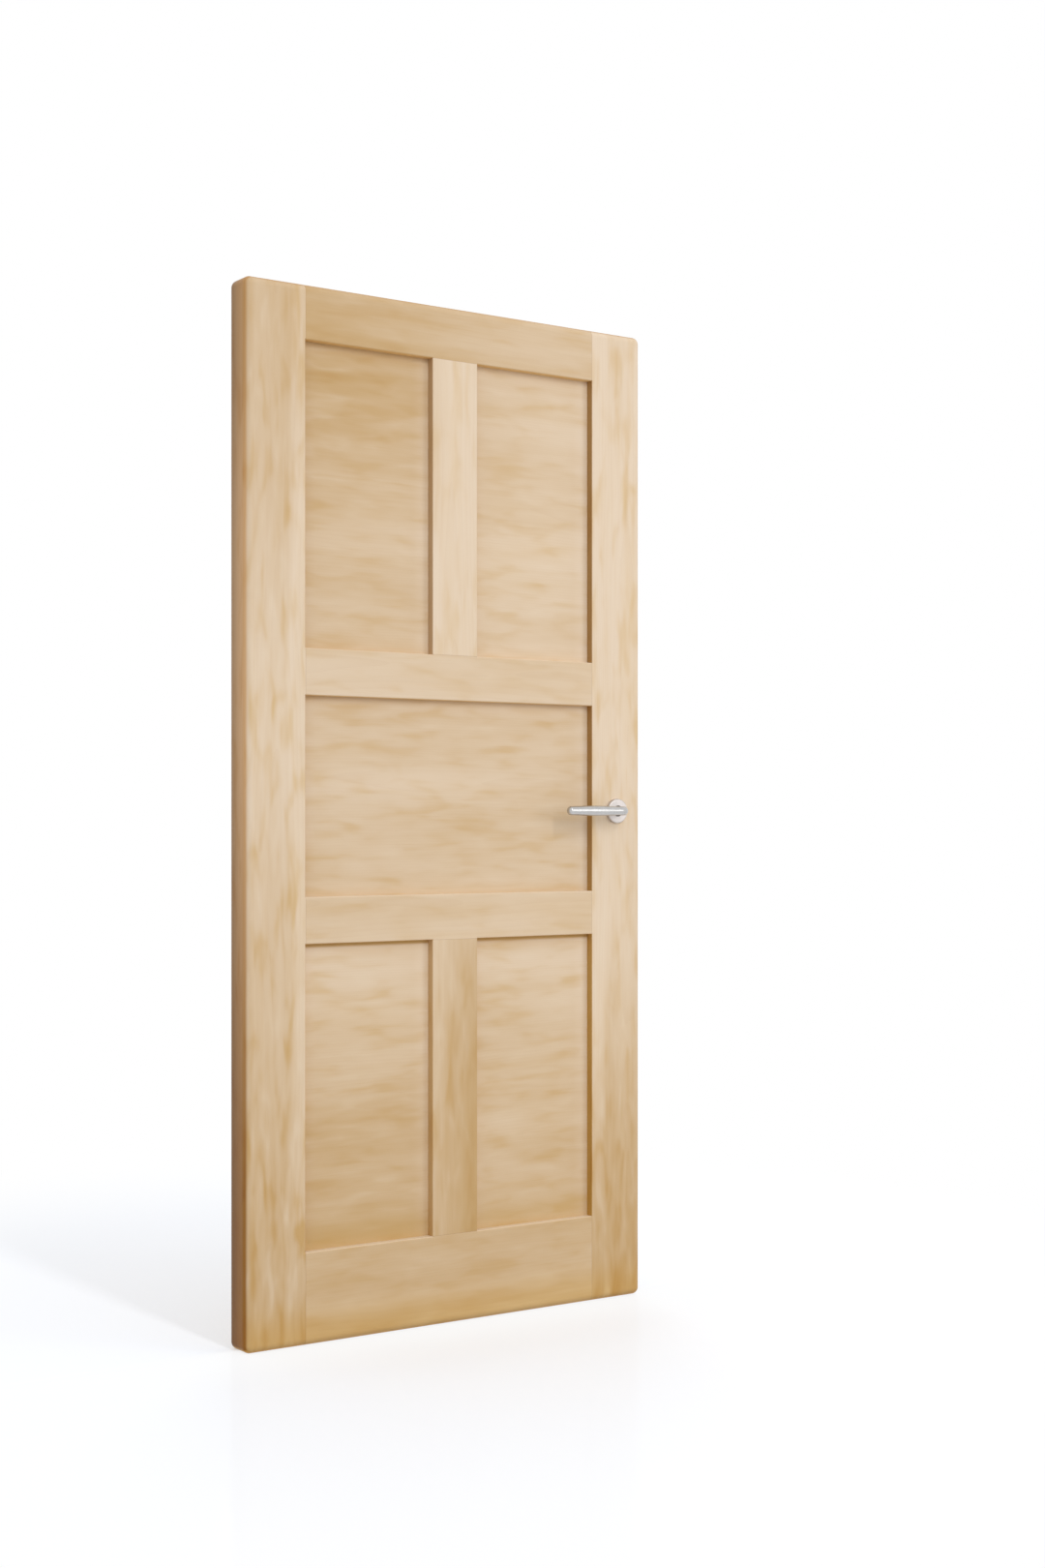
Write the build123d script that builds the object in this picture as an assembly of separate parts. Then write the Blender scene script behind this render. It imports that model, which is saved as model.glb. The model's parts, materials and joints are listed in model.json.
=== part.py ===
"""A five-panel softwood interior door leaf, with a sprung lever handle on each face and a tubular latch.

The leaf stands on its bottom edge. The origin is the middle of that edge: +X runs from the hinge edge to the
lock edge, +Y from the front face to the back face, and +Z up. Sizes are in millimetres.

The leaf is a frame of two stiles, four rails and two muntins, doweled together. Five flat panels float in its
grooves. Each lever turns in a round rose, and both clamp one square spindle. The spindle turns a follower
inside the latch, whose arm pulls the bolt back into the lock edge against a spring.
"""

from build123d import *
import math
import os

# The leaf and its frame members
leaf_width = 914.0
leaf_height = 1981.0
leaf_thickness = 68.0
stile_width = 125.0
top_rail_height = 104.0
mid_rail_height = 88.0
bottom_rail_height = 174.0
muntin_width = 104.0
upper_opening_height = 575.0
lower_opening_height = 575.0
leaf_arris_radius = 14.0
opening_arris_radius = 2.5

# The panels, and the tongues and grooves that hold them
panel_thickness = 34.0
groove_depth = 12.0
groove_play = 0.1
panel_end_play = 2.0
tenon_end_play = 1.0

# The dowels in the joints
rail_dowel_radius = 8.0
rail_dowel_reach = 55.0
muntin_dowel_radius = 5.0
muntin_dowel_reach = 30.0
dowel_fit = 0.05
dowel_end_play = 2.0
dowel_inset = 16.0
dowel_chamfer = 1.0

# Where the handle is, and how far it turns
handle_height = 1000.0
backset = 65.0
lever_swing = 60.0

# The latch
latch_throw = 9.5
forend_length = 57.0
forend_width = 28.5
forend_corner_radius = 3.0
forend_plate = 1.5
cover_plate = 1.5
plate_fit = 0.1
forend_screw_spacing = 44.0
forend_screw_length = 20.0
forend_screw_point = 4.0
forend_screw_radius = 2.0
forend_screw_head_radius = 3.8
case_wall = 1.0
case_fit = 0.2
case_tail_play = 2.5
case_partition = 2.0
bolt_width = 12.0
bolt_height = 17.0
bolt_head_length = 14.0
bolt_nose_flat = 1.5
bolt_nose_radius = 0.5
bolt_play = 0.3
bolt_shank_radius = 4.0
bolt_neck_radius = 1.8
neck_fit = 0.05
bolt_rivet_length = 1.5
bolt_spring_radius = 5.2
bolt_spring_wire = 0.45
bolt_spring_turns = 7
follower_radius = 7.0
follower_fit = 0.05
arm_thickness = 3.0
arm_width = 4.0
arm_clearance = 0.5
yoke_plate = 2.0
yoke_side_gap = 1.0
yoke_prong_height = 1.9
yoke_clearance = 0.3
ear_length = 3.0
ear_clearance = 0.15

# The spindle and its sockets
spindle_size = 8.0
spindle_fit = 0.05
spindle_grip = 19.5
socket_extra = 0.5

# The roses
rose_radius = 25.0
rose_height = 9.0
rose_shell = 1.0
rose_edge_radius = 3.0
rose_base_thickness = 6.0
rose_fit = 0.1
fixing_spacing = 38.0
fixing_bolt_radius = 2.0
fixing_bolt_fit = 0.05
fixing_head_radius = 3.8
fixing_grip = 3.0
fixing_bolt_point = 0.5
fixing_post_radius = 3.8
fixing_post_length = 8.0
fixing_post_fit = 0.2
stile_cross_bore_radius = 10.0

# What turns in each rose
journal_radius = 8.0
journal_fit = 0.1
journal_end = 0.3
flat_depth = 1.0
washer_thickness = 1.2
washer_radius = 14.8
washer_play = 0.05
clip_thickness = 1.0
clip_groove_depth = 0.8
clip_radius = 9.8
clip_opening = 5.0
clip_start = 0.8
clip_play = 0.2
return_spring_radius = 12.7
return_spring_wire = 0.5
return_spring_turns = 2
return_spring_rise = 1.15
pocket_play = 0.9
pocket_floor = 2.4
spring_leg_reach = 3.4
spring_seat = 0.05
spring_leg_fit = 0.1
bush_wall = 0.9
bush_flange_radius = 11.2
bush_flange = 0.5

# The levers
neck_radius = 9.0
grip_offset = 40.0
elbow_radius = 18.0
lever_length = 150.0
grip_middle_radius = 10.4
grip_end_radius = 9.0
grip_dome = 8.0
grub_screw_radius = 2.5
grub_screw_fit = 0.05
grub_screw_offset = 14.5
grub_socket_size = 2.5
grub_socket_depth = 2.0

# Shares of a screw head's radius: the span and the width of the slots of its cross recess
recess_span_share = 1.1
recess_slot_share = 0.26

# How far a cutting tool runs past the surface that it cuts, and the share of each half axis at which the
# control points of a Bezier curve make it a quarter ellipse
overrun = 1.0
quarter_ellipse = 0.5523

# Levels and places that follow from the sizes above
face = leaf_thickness / 2
lock_edge = leaf_width / 2
opening_edge = lock_edge - stile_width
bottom_rail_z = (0.0, bottom_rail_height)
lower_opening_z = (bottom_rail_z[1], bottom_rail_z[1] + lower_opening_height)
lower_mid_rail_z = (lower_opening_z[1], lower_opening_z[1] + mid_rail_height)
top_rail_z = (leaf_height - top_rail_height, leaf_height)
upper_opening_z = (top_rail_z[0] - upper_opening_height, top_rail_z[0])
upper_mid_rail_z = (upper_opening_z[0] - mid_rail_height, upper_opening_z[0])
middle_opening_z = (lower_mid_rail_z[1], upper_mid_rail_z[0])
hub_x = lock_edge - backset
panel_tongue = groove_depth - panel_end_play
tenon_length = groove_depth - tenon_end_play


def block(x_span, y_span, z_span):
    """A box between the two ends given along each axis."""
    spans = (x_span, y_span, z_span)
    middle = [(low + high) / 2 for low, high in spans]
    return Pos(*middle) * Box(*[abs(high - low) for low, high in spans])


def rod_x(radius, x_span, y=0.0, z=0.0):
    """A round bar along X."""
    low, high = x_span
    return Pos((low + high) / 2, y, z) * Rot(0, 90, 0) * Cylinder(radius, abs(high - low))


def rod_y(radius, y_span, x=0.0, z=0.0):
    """A round bar along Y."""
    low, high = y_span
    return Pos(x, (low + high) / 2, z) * Rot(90, 0, 0) * Cylinder(radius, abs(high - low))


def rod_z(radius, z_span, x=0.0, y=0.0):
    """A round bar along Z."""
    low, high = z_span
    return Pos(x, y, (low + high) / 2) * Cylinder(radius, abs(high - low))


def spaced(span, count, inset):
    """Even places between the two ends of a span, the first and last one inset from the ends."""
    low, high = span[0] + inset, span[1] - inset
    return [low + (high - low) * step / (count - 1) for step in range(count)]


def turned(points):
    """A solid of revolution about X, whose outline is given as points (distance along X, radius)."""
    return revolve(make_face(Polyline(*points, close=True)), Axis.X)


# The frame: cut from one blank, so that every rounded arris runs true across the joints

def frame_blank():
    """The whole frame as if it were one piece, with its outer and opening arrises rounded."""
    leaf = block((-lock_edge, lock_edge), (-face, face), (0, leaf_height))
    leaf = fillet(leaf.edges(), leaf_arris_radius)
    through = (-leaf_thickness, leaf_thickness)
    for x_span, z_span in openings().values():
        leaf -= block(x_span, through, z_span)
    rims = [edge for outer in (leaf.faces().sort_by(Axis.Y)[0], leaf.faces().sort_by(Axis.Y)[-1])
            for wire in outer.inner_wires() for edge in wire.edges()]
    return fillet(rims, opening_arris_radius)


def openings():
    """The five openings that the panels close, as the spans of each along X and Z."""
    left = (-opening_edge, -muntin_width / 2)
    right = (muntin_width / 2, opening_edge)
    return {
        "upper_left_panel": (left, upper_opening_z),
        "upper_right_panel": (right, upper_opening_z),
        "middle_panel": ((-opening_edge, opening_edge), middle_opening_z),
        "lower_left_panel": (left, lower_opening_z),
        "lower_right_panel": (right, lower_opening_z),
    }


def groove_y():
    """The span of a panel groove through the leaf's thickness."""
    half = panel_thickness / 2 + groove_play
    return (-half, half)


def tongue_y():
    """The span of a panel or tenon through the leaf's thickness."""
    return (-panel_thickness / 2, panel_thickness / 2)


def stile(blank, side):
    """A stile, on side -1 or +1: a full-height piece of the blank, with a groove down its inner edge."""
    outer, inner = side * (lock_edge + overrun), side * opening_edge
    z_span = (-overrun, leaf_height + overrun)
    piece = blank & block(sorted((outer, inner)), (-leaf_thickness, leaf_thickness), z_span)
    floor = side * (opening_edge + groove_depth)
    return piece - block(sorted((inner - side * overrun, floor)), groove_y(), z_span)


def rail(blank, z_span, groove_below, groove_above):
    """A rail: a piece of the blank between the stiles, with a stub tenon at each end and grooved edges."""
    low, high = z_span
    piece = blank & block((-opening_edge, opening_edge), (-leaf_thickness, leaf_thickness), z_span)
    tenon_z = rail_tenon_z(z_span, groove_below, groove_above)
    reach = opening_edge + tenon_length
    piece += block((-reach, reach), tongue_y(), tenon_z)
    along = (-reach - overrun, reach + overrun)
    if groove_below:
        piece -= block(along, groove_y(), (low - overrun, low + groove_depth))
    if groove_above:
        piece -= block(along, groove_y(), (high - groove_depth, high + overrun))
    return piece


def rail_tenon_z(z_span, groove_below, groove_above):
    """The height span of a rail's stub tenon, which stops where the panel grooves are."""
    return (z_span[0] + groove_depth * groove_below, z_span[1] - groove_depth * groove_above)


def muntin(blank, z_span):
    """A muntin: the short upright between two rails, with stub tenons and a groove down each edge."""
    half = muntin_width / 2
    tenon_half = half - groove_depth
    low, high = z_span
    piece = blank & block((-half, half), (-leaf_thickness, leaf_thickness), z_span)
    piece += block((-tenon_half, tenon_half), tongue_y(), (low - tenon_length, high + tenon_length))
    for side in (-1, 1):
        edge_groove = sorted((side * tenon_half, side * (half + overrun)))
        piece -= block(edge_groove, groove_y(), (low - overrun, high + overrun))
    return piece


def panel(x_span, z_span):
    """A flat panel, larger than its opening by the tongue that sits in the grooves."""
    return block(
        (x_span[0] - panel_tongue, x_span[1] + panel_tongue),
        tongue_y(),
        (z_span[0] - panel_tongue, z_span[1] + panel_tongue),
    )


def dowel_and_hole(radius, reach, axis_rod, joint, **place):
    """A dowel centred on a joint, and the longer and wider hole that it sits in."""
    dowel = axis_rod(radius, (joint - reach, joint + reach), **place)
    dowel = chamfer(dowel.edges().filter_by(GeomType.CIRCLE), dowel_chamfer)
    deep = reach + dowel_end_play
    return dowel, axis_rod(radius + dowel_fit, (joint - deep, joint + deep), **place)


def rail_dowels(tenon_z, count):
    """The dowels through both ends of a rail, each with its hole and the side that it is on."""
    return [
        (side, *dowel_and_hole(rail_dowel_radius, rail_dowel_reach, rod_x, side * opening_edge, z=z))
        for side in (-1, 1)
        for z in spaced(tenon_z, count, dowel_inset)
    ]


def muntin_dowels(z_span):
    """The dowels through both ends of a muntin, each with its hole and the end (0 low, 1 high) it is at."""
    tenon_half = muntin_width / 2 - groove_depth
    return [
        (end, *dowel_and_hole(muntin_dowel_radius, muntin_dowel_reach, rod_z, z_span[end], x=x))
        for end in (0, 1)
        for x in spaced((-tenon_half, tenon_half), 2, dowel_inset)
    ]


def woodwork():
    """The frame members, panels and dowels of the leaf."""
    blank = frame_blank()
    rails = {
        "top_rail": (top_rail_z, True, False, 2),
        "upper_mid_rail": (upper_mid_rail_z, True, True, 2),
        "lower_mid_rail": (lower_mid_rail_z, True, True, 2),
        "bottom_rail": (bottom_rail_z, False, True, 3),
    }
    muntins = {
        "upper_muntin": (upper_opening_z, "upper_mid_rail", "top_rail"),
        "lower_muntin": (lower_opening_z, "bottom_rail", "lower_mid_rail"),
    }
    made = {"hinge_stile": stile(blank, -1), "lock_stile": stile(blank, 1)}
    for name, (z_span, below, above, count) in rails.items():
        made[name] = rail(blank, z_span, below, above)
        dowels = rail_dowels(rail_tenon_z(z_span, below, above), count)
        for side, _, hole in dowels:
            made[name] -= hole
            made["hinge_stile" if side < 0 else "lock_stile"] -= hole
        made[name + "_dowels"] = Compound([dowel for _, dowel, _ in dowels])
    for name, (z_span, rail_below, rail_above) in muntins.items():
        made[name] = muntin(blank, z_span)
        dowels = muntin_dowels(z_span)
        for end, _, hole in dowels:
            made[name] -= hole
            made[rail_above if end else rail_below] -= hole
        made[name + "_dowels"] = Compound([dowel for _, dowel, _ in dowels])
    for name, (x_span, z_span) in openings().items():
        made[name] = panel(x_span, z_span)
    made["lock_stile"] -= lock_cuts()
    return made


# The latch, laid out by distance in from the lock edge

def inward(*distances):
    """The X places that lie these distances in from the lock edge, lowest first."""
    return tuple(sorted(lock_edge - distance for distance in distances))


plates_depth = forend_plate + cover_plate
arm_lean = math.radians(lever_swing / 2)
arm_half = arm_thickness / 2
ear_low = follower_radius + yoke_clearance
ear_high = ear_low + yoke_prong_height
# The arm's working face starts against the ears' inner ends and finishes with its tip against them. The tip
# reaches as far from the follower's axis as it takes for the bolt to travel its whole throw between the two.
arm_start = ear_low * math.tan(arm_lean) - arm_half / math.cos(arm_lean)
arm_reach = (latch_throw - arm_start - arm_half * math.cos(arm_lean)) / math.sin(arm_lean)
arm_tip_radius = math.hypot(arm_reach, arm_half)
ear_face = arm_start - ear_clearance
bolt_half_diagonal = math.hypot(bolt_width, bolt_height) / 2
case_bore_radius = max(arm_tip_radius, bolt_half_diagonal) + arm_clearance
case_radius = case_bore_radius + case_wall
case_end = backset - ear_face + ear_length + latch_throw + case_tail_play + case_wall
# The yoke's web, drawn right back, stops just short of the arm that then points at it.
web_back = backset - arm_tip_radius - latch_throw - bolt_rivet_length - yoke_clearance
web_depth = web_back - yoke_plate
partition_depth = web_depth - case_partition - case_fit
cheek_inner = arm_width / 2 + yoke_side_gap
cheek_outer = cheek_inner + yoke_plate
bolt_rivet_radius = cheek_inner - yoke_clearance


def lock_cuts():
    """Everything that is cut out of the lock stile for the latch and the handles."""
    bore = rod_x(case_radius + case_fit, inward(0, case_end + case_fit), z=handle_height)
    recess_half = (forend_width / 2 + plate_fit, forend_length / 2 + plate_fit)
    recess = rounded_plate(recess_half, (lock_edge - plates_depth, lock_edge + overrun))
    cross = rod_y(stile_cross_bore_radius, (-leaf_thickness, leaf_thickness), hub_x, handle_height)
    cuts = bore + recess + cross
    for z in fixing_places():
        post_hole = fixing_post_radius + fixing_post_fit
        cuts += rod_y(post_hole, (-leaf_thickness, leaf_thickness), hub_x, z)
    for z in forend_screw_places():
        hole_depth = forend_screw_length + plate_fit
        cuts += rod_x(forend_screw_radius + plate_fit, inward(0, hole_depth), z=z)
    return cuts


def rounded_plate(half_size, x_span):
    """A plate across the lock edge, with rounded corners: half_size is half its width and half its length."""
    half_width, half_length = half_size
    z_span = (handle_height - half_length, handle_height + half_length)
    plate = block(x_span, (-half_width, half_width), z_span)
    return fillet(plate.edges().filter_by(Axis.X), forend_corner_radius)


def forend_screw_places():
    """The heights of the two forend screws."""
    return [handle_height + side * forend_screw_spacing / 2 for side in (-1, 1)]


def fixing_places():
    """The heights of the two bolts that draw the roses together."""
    return [handle_height + side * fixing_spacing / 2 for side in (-1, 1)]


def cross_recess(head_radius, depth):
    """A cross-shaped driver recess for a screw head, about X, cut from its outer end inwards."""
    long, thin = head_radius * recess_span_share, head_radius * recess_slot_share
    along, half_long, half_thin = (-depth, overrun), (-long / 2, long / 2), (-thin / 2, thin / 2)
    return block(along, half_long, half_thin) + block(along, half_thin, half_long)


def countersunk(head_radius, shank_radius, length, point_length):
    """A countersunk screw along X, its head flush with X = 0 and its point at X = -length."""
    cone = head_radius - shank_radius
    tip_radius = shank_radius / 4
    profile = [(0, 0), (0, head_radius), (-cone, shank_radius), (point_length - length, shank_radius),
               (-length, tip_radius), (-length, 0)]
    return turned(profile) - cross_recess(head_radius, cone)


def latch():
    """The latch's casing, plates and screws, and what slides and turns in it."""
    bolt_hole_y = (-bolt_width / 2 - bolt_play, bolt_width / 2 + bolt_play)
    half = bolt_height / 2 + bolt_play
    bolt_hole = block((lock_edge - plates_depth - overrun, lock_edge + overrun), bolt_hole_y,
                      (handle_height - half, handle_height + half))
    plate_half = (forend_width / 2, forend_length / 2)
    forend = rounded_plate(plate_half, (lock_edge - plates_depth, lock_edge - cover_plate)) - bolt_hole
    cover = rounded_plate(plate_half, (lock_edge - cover_plate, lock_edge)) - bolt_hole
    screws = []
    for z in forend_screw_places():
        screw = countersunk(forend_screw_head_radius, forend_screw_radius, forend_screw_length,
                            forend_screw_point)
        screws.append(Pos(lock_edge, 0, z) * screw)
        head = forend_screw_head_radius + plate_fit
        shank = forend_screw_radius + plate_fit
        cone = head - shank
        sink = turned([(0, 0), (0, head), (-cone, shank), (-cone - plates_depth, shank),
                       (-cone - plates_depth, 0)])
        sink = Pos(lock_edge, 0, z) * sink
        forend -= sink
        cover -= sink
    return {
        "latch_case": latch_case(),
        "latch_forend": forend,
        "forend_cover": cover,
        "forend_screws": Compound(screws),
        "latch_bolt": latch_bolt(),
        "bolt_spring": bolt_spring(),
        "latch_yoke": latch_yoke(),
        "latch_follower": latch_follower(),
    }


def latch_case():
    """The tube behind the forend, with a partition that the bolt spring pushes on and a closed tail."""
    tube = rod_x(case_radius, inward(plates_depth, case_end), z=handle_height)
    tube -= rod_x(case_bore_radius, inward(plates_depth - overrun, partition_depth), z=handle_height)
    back = (partition_depth + case_partition, case_end - case_wall)
    tube -= rod_x(case_bore_radius, inward(*back), z=handle_height)
    tube -= rod_x(bolt_shank_radius + bolt_play, inward(plates_depth, back[1]), z=handle_height)
    return tube - rod_y(follower_radius + follower_fit, (-case_radius, case_radius), hub_x, handle_height)


def latch_bolt():
    """The bevelled bolt, its shank, and the neck that is riveted over the yoke."""
    nose, tail = lock_edge + latch_throw, lock_edge - bolt_head_length
    half = bolt_width / 2
    outline = Polyline((tail, -half), (nose, -half), (nose, bolt_nose_flat - half), (lock_edge, half),
                       (tail, half), close=True)
    z_low = handle_height - bolt_height / 2
    head = Pos(0, 0, z_low) * extrude(make_face(outline), bolt_height)
    head = fillet(head.edges().filter_by(Axis.Z).sort_by(Axis.X)[-2:], bolt_nose_radius)
    shank = rod_x(bolt_shank_radius, inward(bolt_head_length, web_depth), z=handle_height)
    neck = rod_x(bolt_neck_radius, inward(web_depth, web_back), z=handle_height)
    rivet = rod_x(bolt_rivet_radius, inward(web_back, web_back + bolt_rivet_length), z=handle_height)
    return head + shank + neck + rivet


def bolt_spring():
    """The coil spring round the bolt's shank, between the bolt's shoulder and the partition."""
    room = partition_depth - bolt_head_length - 2 * (bolt_spring_wire + spring_seat)
    coil = Helix(room / bolt_spring_turns, room, bolt_spring_radius)
    section = Plane(coil @ 0, z_dir=coil % 0) * Circle(bolt_spring_wire)
    spring = sweep(section, path=coil, is_frenet=True)
    start = lock_edge - partition_depth + bolt_spring_wire + spring_seat
    return Pos(start, 0, handle_height) * Rot(0, 90, 0) * spring


def latch_yoke():
    """The pressed yoke behind the partition: a web, two cheeks, and prongs that end in two ears."""
    ear_x = (hub_x + ear_face - ear_length, hub_x + ear_face)
    cheek_back = hub_x + follower_radius + latch_throw + yoke_clearance
    web_x = inward(web_depth, web_back)
    z_span = (handle_height - ear_high, handle_height + ear_high)
    yoke = block(web_x, (-cheek_outer, cheek_outer), z_span)
    for side in (-1, 1):
        yoke += block((cheek_back, web_x[1]), sorted((side * cheek_inner, side * cheek_outer)), z_span)
        prong_z = sorted((handle_height + side * ear_low, handle_height + side * ear_high))
        for cheek in (-1, 1):
            cheek_y = sorted((cheek * cheek_inner, cheek * cheek_outer))
            yoke += block((ear_x[0], web_x[1]), cheek_y, prong_z)
        yoke += block(ear_x, (-cheek_outer, cheek_outer), prong_z)
    through_web = inward(web_depth - overrun, web_back + overrun)
    return yoke - rod_x(bolt_neck_radius + neck_fit, through_web, z=handle_height)


def latch_follower():
    """The hub that the spindle turns, with two arms that lean towards the bolt at rest."""
    hub = rod_y(follower_radius, (-case_bore_radius, case_bore_radius))
    reach = rod_y(arm_tip_radius, (-arm_width / 2, arm_width / 2))
    for angle in (lever_swing / 2, 180 - lever_swing / 2):
        arm = block((-arm_half, arm_half), (-arm_width / 2, arm_width / 2),
                    (follower_radius / 2, arm_tip_radius + overrun))
        hub += (Rot(0, angle, 0) * arm) & reach
    hole = spindle_size / 2 + spindle_fit
    hub -= block((-hole, hole), (-leaf_thickness, leaf_thickness), (-hole, hole))
    return Pos(hub_x, 0, handle_height) * hub


# One handle, on the front face. Distances "out" are measured from the face, towards -Y

def out(*distances):
    """The Y places that lie these distances out from the front face, lowest first."""
    return tuple(sorted(-face - distance for distance in distances))


washer_start = rose_base_thickness + washer_play
shoulder = washer_start + washer_thickness + washer_play
bush_bore = neck_radius + journal_fit
bush_radius = bush_bore + bush_wall
return_spring_start = pocket_floor + return_spring_wire + spring_seat
return_spring_height = return_spring_rise * return_spring_turns


def ring_y(outer, inner, span):
    """A flat ring about the handle's axis, between two distances out from the face."""
    y_low, y_high = out(*span)
    hole = rod_y(inner, (y_low - overrun, y_high + overrun), hub_x, handle_height)
    return rod_y(outer, (y_low, y_high), hub_x, handle_height) - hole


def rose_base(countersink):
    """The fixed base of a rose, with its posts, fixing holes, spring pocket and clip recess."""
    base_radius = rose_radius - rose_shell - rose_fit
    past_front = rose_base_thickness + overrun
    base = rod_y(base_radius, out(0, rose_base_thickness), hub_x, handle_height)
    for z in fixing_places():
        base += rod_y(fixing_post_radius, out(-fixing_post_length, rose_base_thickness), hub_x, z)
        hole = fixing_bolt_radius + fixing_bolt_fit
        base -= rod_y(hole, out(-fixing_post_length - overrun, past_front), hub_x, z)
        if countersink:
            head = fixing_head_radius + fixing_bolt_fit
            cone = turned([(0, 0), (0, head), (hole - head, hole), (hole - head, 0)])
            base -= Pos(hub_x, -face - rose_base_thickness, z) * Rot(0, 0, -90) * cone
    base -= rod_y(journal_radius + journal_fit, out(-overrun, past_front), hub_x, handle_height)
    clip_floor = clip_start + clip_thickness + clip_play
    base -= rod_y(clip_radius + clip_play, out(-overrun, clip_floor), hub_x, handle_height)
    pocket = return_spring_wire + pocket_play
    base -= ring_y(return_spring_radius + pocket, return_spring_radius - pocket, (pocket_floor, past_front))
    notch_end = hub_x - return_spring_radius - spring_leg_reach - pocket_play
    notch_half = return_spring_wire + spring_seat
    notch = block((notch_end, hub_x - return_spring_radius), out(pocket_floor, past_front),
                  (handle_height - notch_half, handle_height + notch_half))
    return base - notch


def rose_cover():
    """The thin round cover that hides the rose's base, its front edge rounded."""
    cover = rod_y(rose_radius, out(0, rose_height), hub_x, handle_height)
    inside = rod_y(rose_radius - rose_shell, out(-overrun, rose_height - rose_shell), hub_x, handle_height)
    cover = fillet(front_rim(cover), rose_edge_radius)
    inside = fillet(front_rim(inside), rose_edge_radius - rose_shell / 2)
    hole = rod_y(bush_radius + plate_fit, out(0, rose_height + overrun), hub_x, handle_height)
    return cover - inside - hole


def front_rim(disc):
    """The round edge of a disc that lies furthest out."""
    return disc.edges().filter_by(GeomType.CIRCLE).sort_by(Axis.Y)[0]


def neck_bush():
    """The flanged plastic bush between the rose cover and the lever's neck."""
    sleeve = ring_y(bush_radius, bush_bore, (shoulder, rose_height + bush_flange))
    return sleeve + ring_y(bush_flange_radius, bush_bore, (rose_height, rose_height + bush_flange))


def driver_washer():
    """The washer that flats on the journal turn, and that winds the return spring."""
    span = (washer_start, washer_start + washer_thickness)
    y_low, y_high = out(*span)
    washer = rod_y(washer_radius, (y_low, y_high), hub_x, handle_height)
    flat = journal_radius - flat_depth + washer_play
    through = (y_low - overrun, y_high + overrun)
    bore = rod_y(journal_radius + washer_play, through, hub_x, handle_height)
    bore &= block((0, 2 * hub_x), through, (handle_height - flat, handle_height + flat))
    leg_radius = return_spring_wire + spring_leg_fit
    leg_hole = rod_y(leg_radius, through, hub_x - return_spring_radius, handle_height)
    return washer - bore - leg_hole


def return_spring():
    """The coil that returns the lever: one leg held in the base's notch, the other in the washer."""
    coil = Helix(return_spring_rise, return_spring_height, return_spring_radius)
    section = Plane(coil @ 0, z_dir=coil % 0) * Circle(return_spring_wire)
    spring = sweep(section, path=coil, is_frenet=True)
    end = washer_start + washer_thickness - return_spring_start
    spring += rod_x(return_spring_wire, (return_spring_radius, return_spring_radius + spring_leg_reach))
    spring += rod_z(return_spring_wire, (return_spring_height, end), x=return_spring_radius)
    spring = Rot(90, 0, 0) * Rot(0, 0, 180) * spring
    return Pos(hub_x, -face - return_spring_start, handle_height) * spring


def circlip():
    """The spring clip in the journal's groove, behind the base, which keeps the lever in its rose."""
    span = (clip_start, clip_start + clip_thickness)
    inner = journal_radius - clip_groove_depth + washer_play
    ring = ring_y(clip_radius, inner, span)
    gap_half = clip_opening / 2
    gap = block((hub_x - gap_half, hub_x + gap_half), out(0, clip_start + clip_thickness + overrun),
                (handle_height - 2 * clip_radius, handle_height))
    return ring - gap


def grub_screw():
    """The socket set screw in the underside of a lever's neck, which clamps the spindle."""
    z_span = (handle_height - neck_radius, handle_height - spindle_size / 2 - spindle_fit)
    y_middle = -face - grub_screw_offset
    screw = rod_z(grub_screw_radius, z_span, hub_x, y_middle)
    socket = extrude(RegularPolygon(grub_socket_size / 2, 6, major_radius=False), grub_socket_depth)
    return screw - Pos(hub_x, y_middle, z_span[0]) * socket


def lever():
    """A lever in one piece: journal, neck, elbow and a grip that swells at its middle."""
    neck_end = grip_offset - elbow_radius
    piece = rod_y(journal_radius, out(journal_end, shoulder), hub_x, handle_height)
    piece += rod_y(neck_radius, out(shoulder, neck_end), hub_x, handle_height)
    bend_axis = Axis((hub_x - elbow_radius, -face - neck_end, handle_height), (0, 0, -1))
    start = Plane((hub_x, -face - neck_end, handle_height), x_dir=(1, 0, 0), z_dir=(0, -1, 0))
    piece += revolve(start * Circle(neck_radius), bend_axis, 90)
    piece += Pos(hub_x - elbow_radius, -face - grip_offset, handle_height) * Rot(0, 0, 180) * grip()
    flat = journal_radius - flat_depth
    for side in (-1, 1):
        beyond = sorted((handle_height + side * flat, handle_height + side * (journal_radius + overrun)))
        piece -= block((hub_x - journal_radius, hub_x + journal_radius),
                       out(rose_base_thickness, shoulder), beyond)
    groove_span = (clip_start - washer_play, clip_start + clip_thickness + washer_play)
    piece -= ring_y(journal_radius + overrun, journal_radius - clip_groove_depth, groove_span)
    hole = spindle_size / 2 + spindle_fit
    piece -= block((hub_x - hole, hub_x + hole), out(-overrun, spindle_grip + socket_extra),
                   (handle_height - hole, handle_height + hole))
    screw_hole = grub_screw_radius + grub_screw_fit
    piece -= rod_z(screw_hole, (handle_height - neck_radius - overrun, handle_height), hub_x,
                   -face - grub_screw_offset)
    return piece


def grip():
    """The grip along +X from its root: a solid of revolution that swells, tapers and ends in a dome."""
    length = lever_length - elbow_radius
    dome_start = length - grip_dome
    body = Spline((0, neck_radius), (dome_start / 2, grip_middle_radius), (dome_start, grip_end_radius),
                  tangents=[(1, 0), (1, 0)])
    dome = Bezier((dome_start, grip_end_radius), (dome_start + quarter_ellipse * grip_dome, grip_end_radius),
                  (length, quarter_ellipse * grip_end_radius), (length, 0))
    back = Polyline((length, 0), (0, 0), (0, neck_radius))
    return revolve(make_face(body + dome + back), Axis.X)


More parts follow.
